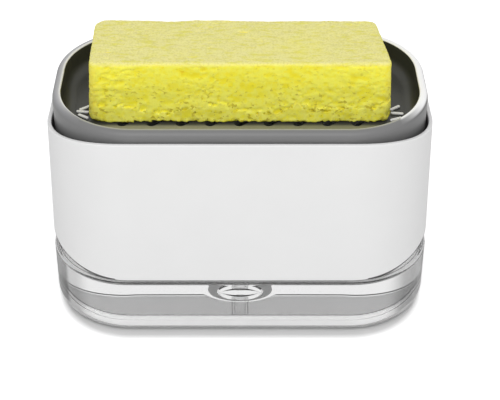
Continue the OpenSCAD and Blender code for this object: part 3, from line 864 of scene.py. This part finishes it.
class Foam:
    """A block of sponge as a grid of distances, negative inside. Millimetres from the block's middle."""

    def __init__(self, lo, hi, step):
        self.h = step
        self.mid = (hi + lo) / 2
        self.half = (hi - lo) / 2 - SPONGE_INSET
        self.origin = lo - GRID_MARGIN
        self.shape = tuple(int(math.ceil((s + 2 * GRID_MARGIN) / step)) + 1 for s in hi - lo)
        self.start = self.origin - self.mid
        self.x, self.y, self.z = (
            self.origin[i] + step * np.arange(self.shape[i]) - self.mid[i] for i in range(3)
        )
        self.rng = np.random.default_rng(SPONGE_SEED)
        self.pit_shade = np.zeros(self.shape, np.float32)
        self.make_block()

    def noise(self, wave):
        """Smooth noise of about unit spread; wave is in millimetres."""
        wave = wave / self.h
        f = np.fft.rfftn(self.rng.standard_normal(self.shape).astype(np.float32))
        kx, ky = (np.fft.fftfreq(s) for s in self.shape[:-1])
        kz = np.fft.rfftfreq(self.shape[-1])
        k = np.sqrt(kx[:, None, None] ** 2 + ky[None, :, None] ** 2 + kz[None, None, :] ** 2)
        f *= np.exp(-((k * wave) ** 2) * 2.2)
        g = np.fft.irfftn(f, s=self.shape, axes=(0, 1, 2)).astype(np.float32)
        return g / g.std()

    def make_block(self):
        """The block is not cut square: its top is shorter than its foot, most at the back right."""
        half = self.half
        swell = self.noise(22) * 0.13 + self.noise(7) * 0.06
        x, y, z = self.x[:, None, None], self.y[None, :, None], self.z[None, None, :]
        high = np.clip((z / half[2] + 0.2) / 1.2, 0, 1)
        low = np.clip((-z / half[2] - 0.2) / 0.8, 0, 1)
        right = half[0] - high * (0.6 + 0.118 * np.clip(y + 14, 0, 40)) + 0.5 * low
        left = -half[0] + high * (0.7 - 0.02 * np.clip(y + 5, 0, 20)) - 0.9 * low
        back = half[1] + 0.6 * high * np.clip((46 - x) / 20, -0.8, 1)
        front = -half[1] - 0.9 * low
        turn = SPONGE_CORNER + 2.2 * high * ((y > 0) & (x < 0))
        side_x = np.abs(x - (right + left) / 2) - (right - left) / 2
        side_y = np.abs(y - (back + front) / 2) - (back - front) / 2
        plan = rounded(side_x, side_y, turn)
        up = np.abs(z) - half[2]
        near_end = np.clip((np.abs(x) - half[0] + 8) / 8, 0, 1)
        block = rounded(plan, up, np.where(z > 0, SPONGE_EDGE, 0.7 + 2.2 * near_end ** 2))
        self.block = (block + swell * np.clip((z + half[2]) / 6, 0.15, 1)).astype(np.float32)
        # the cut faces are rougher than the skin of the top, and the lower edge is frayed
        skin = (up - plan > -0.3).astype(np.float32) * (z > 0)
        self.f = self.block + self.noise(1.0) * (0.055 - 0.015 * skin)
        fray = np.clip(1 - (z + half[2]) / FRAY_HEIGHT, 0, 1)
        self.f += (np.maximum(self.noise(1.7), -0.6) * 0.3 * fray).astype(np.float32)

    def carve(self, centre, axes, radii, soft=0.18, colour=0.0):
        """Takes an ellipsoid out of the block. colour is how much painted shade, a fuller yellow, it leaves
        in the hollow.
        """
        reach = max(radii) + 1.0
        i0 = np.maximum(((centre - reach - self.start) / self.h).astype(int), 0)
        i1 = np.minimum(((centre + reach - self.start) / self.h).astype(int) + 2, self.shape)
        if (i1 <= i0).any():
            return
        s = tuple(slice(p, q) for p, q in zip(i0, i1))
        near = [values[s[i]] - centre[i] for i, values in enumerate((self.x, self.y, self.z))]
        g = np.stack(np.meshgrid(*near, indexing="ij"), -1) @ axes
        d = (1 - np.sqrt(((g / radii) ** 2).sum(-1))) * min(radii)
        old = self.f[s]
        w = np.clip(0.5 + 0.5 * (d - old) / soft, 0, 1)
        self.f[s] = np.maximum(old, d) + soft * w * (1 - w) * 0.5
        if colour:
            flat = np.hypot(g[..., 0] / radii[0], g[..., 1] / radii[1])
            shade_in_hollow = colour * np.clip((1.1 - flat) / 0.4, 0, 1) * (np.abs(g[..., 2]) < 1.6)
            self.pit_shade[s] = np.maximum(self.pit_shade[s], shade_in_hollow)

    def random_radius(self, middle, spread, lo, hi):
        return float(np.clip(math.exp(self.rng.normal(math.log(middle), spread)), lo, hi))

    def on_side(self, side, u, w, lift):
        """Centre and direction of a pore at u along a side and w up it, turned at the corners."""
        out = 1 if side[1] else 0
        along = 1 - out
        past = max(abs(u) - (self.half[along] - SPONGE_CORNER), 0)
        off = SPONGE_CORNER - math.sqrt(max(SPONGE_CORNER ** 2 - past ** 2, 0))
        tilt = math.copysign(math.asin(min(past / SPONGE_CORNER, 1)), u)
        centre, facing = np.array([0.0, 0.0, w]), np.zeros(3)
        centre[along], centre[out] = u, side[out] * (self.half[out] - off - lift)
        facing[along], facing[out] = math.sin(tilt), side[out] * math.cos(tilt)
        return centre, facing

    def carve_pore(self, side):
        """Small pores are holes, the larger ones only shallow hollows. Some crowd the lower edge."""
        rng, half = self.rng, self.half
        r = self.random_radius(0.44, 0.55, 0.28, 2.1)
        u = rng.uniform(-1, 1) * (half[0] if side[1] else half[1])
        w = rng.uniform(-1, 1) * half[2]
        if rng.random() < 0.22:
            w = -half[2] + rng.uniform(0, 4.5)
            r = min(r, 0.8)
        deep = r * rng.uniform(0.42, 0.8) if r < 0.6 else 0.17 + 0.06 * r
        centre, facing = self.on_side(side, u, w, rng.uniform(-0.2, 0.3) * deep)
        radii = np.array([r * rng.uniform(1.0, 1.7), r * rng.uniform(0.6, 1.0), deep])
        axes = turned(facing, rng.normal(0, 0.35))
        self.carve(centre, axes, radii, colour=rng.uniform(0.2, 1) if r > 0.6 else 0.0)

    def carve_hollow(self, side):
        rng, half = self.rng, self.half
        r = rng.uniform(0.8, 1.9)
        u = rng.uniform(-1, 1) * (half[0] - 4)
        w = rng.uniform(-0.85, 0.9) * half[2]
        radii = np.array([r * rng.uniform(1.0, 1.6), r * rng.uniform(0.5, 0.9), 0.3])
        axes = turned(side, rng.normal(0, 0.3))
        self.carve(np.array([u, side[1] * half[1], w]), axes, radii, 0.3, rng.uniform(0.5, 1))

    def on_flat(self, sign, inset_x, inset_y, above):
        """A random place on the top or, with sign -1, below."""
        x = self.rng.uniform(-1, 1) * (self.half[0] - inset_x)
        y = self.rng.uniform(-1, 1) * (self.half[1] - inset_y)
        return np.array([x, y, sign * (self.half[2] + above)])

    def carve_flat(self, sign):
        """Short marks that run along the block, and a few wide shallow hollows."""
        rng = self.rng
        for i in range(TOP_MARKS):
            r = self.random_radius(0.32, 0.4, 0.2, 0.9)
            centre = self.on_flat(sign, 1, 1, 0.05)
            radii = r * np.array([rng.uniform(1.5, 3.5), rng.uniform(0.6, 1.0), rng.uniform(0.5, 0.8)])
            self.carve(centre, turned((0, 0, sign), rng.normal(0, 0.25)), radii, 0.12)
        for i in range(TOP_HOLLOWS):
            r = rng.uniform(1.0, 2.0)
            centre = self.on_flat(sign, 3, 2, 0.1)
            axes = turned((0, 0, sign), rng.normal(0, 0.3))
            self.carve(centre, axes, np.array([r * 1.8, r * 0.7, 0.35]), 0.2)

    def carve_all(self):
        sides = [(0, -1, 0), (0, 1, 0), (1, 0, 0), (-1, 0, 0)]
        for side in sides:
            for i in range(LONG_PORES if side[1] else SHORT_PORES):
                self.carve_pore(side)
            for i in range(LONG_HOLLOWS if side[1] else 0):
                self.carve_hollow(side)
        for sign in (1, -1):
            self.carve_flat(sign)


def quad_mesh(name, points, quads):
    me = bpy.data.meshes.new(name)
    me.vertices.add(len(points))
    me.vertices.foreach_set("co", (points * MM).astype(np.float32).ravel())
    me.loops.add(quads.size)
    me.loops.foreach_set("vertex_index", quads.ravel().astype(np.int32))
    me.polygons.add(len(quads))
    me.polygons.foreach_set("loop_start", np.arange(0, quads.size, 4, dtype=np.int32))
    me.polygons.foreach_set("use_smooth", np.ones(len(quads), bool))
    me.update(calc_edges=True)
    me.validate()
    return me


def build_sponge():
    lo, hi = (np.array(v) * 1000 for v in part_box("sponge"))
    foam = Foam(lo, hi, GRID_STEP)
    foam.carve_all()
    points, quads = surface_nets(foam.f, foam.origin, foam.h)
    me = quad_mesh("sponge_block", points, quads)
    cell = np.clip(np.round((points - foam.origin) / foam.h).astype(int), 0, np.array(foam.shape) - 1)
    cell = tuple(cell.T)
    below_top = np.abs(points[:, 2] - (foam.mid[2] + foam.half[2]))
    set_attribute(me, "depth", np.maximum(-foam.block[cell], 0))
    set_attribute(me, "pale", np.clip((1.6 - below_top) / 1.4, 0, 1))
    set_attribute(me, "pit_shade", foam.pit_shade[cell])
    me.materials.append(mats["sponge"])
    ob = bpy.data.objects.new("sponge_block", me)
    scene.collection.objects.link(ob)
    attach(ob, "sponge_block")
    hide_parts("sponge")


def cut_face_colour(s, place, depth):
    """Pale yellow lattice, lighter lower down as painted light, with painted shade: fuller yellow in the
    hollows, orange in some deep ones, small dark pores.
    """
    # painted light: the front is lighter lower down
    low = s.range(place[2], 0.088, 0.106, 1.0, 0.0, True)
    front = s.mix(low, (1.0, 0.93, 0.12), (1.0, 0.95, 0.165))
    full = s.mix(low, (0.99, 0.85, 0.04), (1.0, 0.89, 0.05))
    mottle = s.range(s.noise(430, 3.0), 0.45, 0.66, 0.0, 0.6, True)
    body = s.mix(mottle, front, full)
    # painted shade: fuller yellow in the carved hollows and deep in the block
    body = s.mix(s.attribute("pit_shade"), body, full)
    body = s.mix(s.range(depth, 0.16, 0.7, 0.0, 1.0, True), body, full)
    grain = s.range(s.noise(1500, 3.0, 0.6), 0.35, 0.5, 0.1, 0.0, True)
    body = s.mix(grain, body, (0.7, 0.62, 0.06))
    # painted shade: orange in some of the deeper hollows
    deep_orange_shade = s.range(s.noise(150, 2.0), 0.62, 0.7, 0.0, 1.0, True)
    deep_orange_shade = s.math("MULTIPLY", deep_orange_shade, s.range(depth, 0.25, 0.6, 0.0, 0.8, True))
    body = s.mix(deep_orange_shade, body, (0.85, 0.58, 0.02))
    # painted shade: small dark pores, more of them lower down
    holes = s.range(s.noise(760, 2.0, 0.5, stretch=(0.7, 1, 1)), 0.565, 0.65, 0.0, 1.0, True)
    patch = s.range(s.noise(230, 2.0), 0.42, 0.58, 0.25, 1.0, True)
    patch = s.math("MULTIPLY", patch, s.range(low, 0.0, 1.0, 0.35, 0.95))
    body = s.mix(s.math("MULTIPLY", holes, patch), body, (0.58, 0.49, 0.045))
    # painted shade: a little darker where the faces turn round to the ends, most of all at the left
    left_end_shade = s.range(place[0], -0.0575, -0.0535, 0.5, 0.0, True)
    right_end_shade = s.range(place[0], 0.0535, 0.0575, 0.0, 0.25, True)
    return s.mix(s.math("MAXIMUM", left_end_shade, right_end_shade), body, (0.74, 0.64, 0.12))


def skin_colour(s):
    """Skin of the top: pale, with short marks that run along it."""
    marks = s.range(s.noise(520, 4.0, 0.65, stretch=(0.3, 1, 1)), 0.48, 0.66, 0.0, 0.9, True)
    skin = s.mix(marks, (0.87, 0.815, 0.33), (0.78, 0.73, 0.14))
    fine = s.range(s.noise(1300, 3.0, 0.6), 0.36, 0.56, 0.5, 0.0, True)
    return s.mix(fine, skin, (0.66, 0.61, 0.2))


def sponge_material():
    values = {"Roughness": 0.95, "Specular_IOR_Level": 0.1, "Subsurface_Weight": 0.35}
    s = Shader("sponge", Subsurface_Scale=0.002, Subsurface_Radius=(1.0, 0.9, 0.25), **values)
    depth = s.attribute("depth")
    cover = s.math("MULTIPLY", s.attribute("pale"), s.range(depth, 0.35, 0.8, 1.0, 0.4, True))
    s.link(s.mix(cover, cut_face_colour(s, s.axes(), depth), skin_colour(s)), "Base Color")
    s.bump(s.noise(1300, 4.0, 0.7), 0.3, 0.0002)
    return s.mat


mats["sponge"] = sponge_material()
build_sponge()


# The carried-over pieces

for name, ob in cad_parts.items():
    if not ob.hide_render:
        for slot in ob.material_slots:
            slot.material = mats["tray_floor" if name == "drain_floor" else slot.material.name.split(".")[0]]


# Floor

FLOOR_SIZE = 12
FLOOR_BELOW = 0.0001
FLOOR_COLOUR = 0.9
# Past the reach of a painted shadow, drawn a little ahead of the foot, the floor glows to white for the
# camera; through the base it glows evenly
SHADOW_FORWARD = 0.0045
SHADOW_FROM, SHADOW_TO = 0.0280, 0.0325
FLOOR_SEEN = 0.52
FLOOR_THROUGH = 0.57


def floor_material():
    mat = bpy.data.materials.new("floor")
    mat.use_nodes = True
    nt = mat.node_tree
    nt.nodes.clear()

    def vector(operation, value, number=(0, 0, 0)):
        n = nt.nodes.new("ShaderNodeVectorMath")
        n.operation = operation
        nt.links.new(value, n.inputs[0])
        n.inputs[1].default_value = number
        return n.outputs

    def arithmetic(operation, *values):
        n = nt.nodes.new("ShaderNodeMath")
        n.operation = operation
        for value, socket in zip(values, n.inputs):
            if hasattr(value, "is_output"):
                nt.links.new(value, socket)
            else:
                socket.default_value = value
        return n.outputs[0]

    # how far a point of the floor lies outside the foot's corner centres, drawn a little forward, which sets
    # where the painted shadow reaches
    place = nt.nodes.new("ShaderNodeTexCoord").outputs["Object"]
    place = vector("ADD", place, (0, SHADOW_FORWARD, 0))[0]
    place = vector("SUBTRACT", vector("ABSOLUTE", place)[0], (BODY_CX * MM, BODY_CY * MM, 0))[0]
    reach = vector("LENGTH", vector("MAXIMUM", place)[0])["Value"]
    level = nt.nodes.new("ShaderNodeMapRange")
    level.interpolation_type = "SMOOTHSTEP"
    steps = {"From Min": SHADOW_FROM, "From Max": SHADOW_TO, "To Min": 0.0, "To Max": FLOOR_SEEN}
    for key, value in steps.items():
        level.inputs[key].default_value = value
    nt.links.new(reach, level.inputs["Value"])

    ray = nt.nodes.new("ShaderNodeLightPath").outputs
    seen = arithmetic("MULTIPLY", ray["Is Camera Ray"], level.outputs["Result"])
    through = arithmetic("MULTIPLY", ray["Is Transmission Ray"], FLOOR_THROUGH)
    glow = nt.nodes.new("ShaderNodeEmission")
    glow.inputs["Color"].default_value = (1, 1, 1, 1)
    nt.links.new(arithmetic("ADD", seen, through), glow.inputs["Strength"])
    base = nt.nodes.new("ShaderNodeBsdfDiffuse")
    base.inputs["Color"].default_value = (*grey(FLOOR_COLOUR), 1)
    add = nt.nodes.new("ShaderNodeAddShader")
    nt.links.new(base.outputs[0], add.inputs[0])
    nt.links.new(glow.outputs[0], add.inputs[1])
    out = nt.nodes.new("ShaderNodeOutputMaterial")
    nt.links.new(add.outputs[0], out.inputs["Surface"])
    return mat


def build_floor():
    me = bpy.data.meshes.new("floor")
    side = FLOOR_SIZE / 2
    corners = [(-side, -side, 0), (side, -side, 0), (side, side, 0), (-side, side, 0)]
    me.from_pydata(corners, [], [(0, 1, 2, 3)])
    ob = bpy.data.objects.new("floor", me)
    ob.location.z = -FLOOR_BELOW
    scene.collection.objects.link(ob)
    me.materials.append(floor_material())


build_floor()
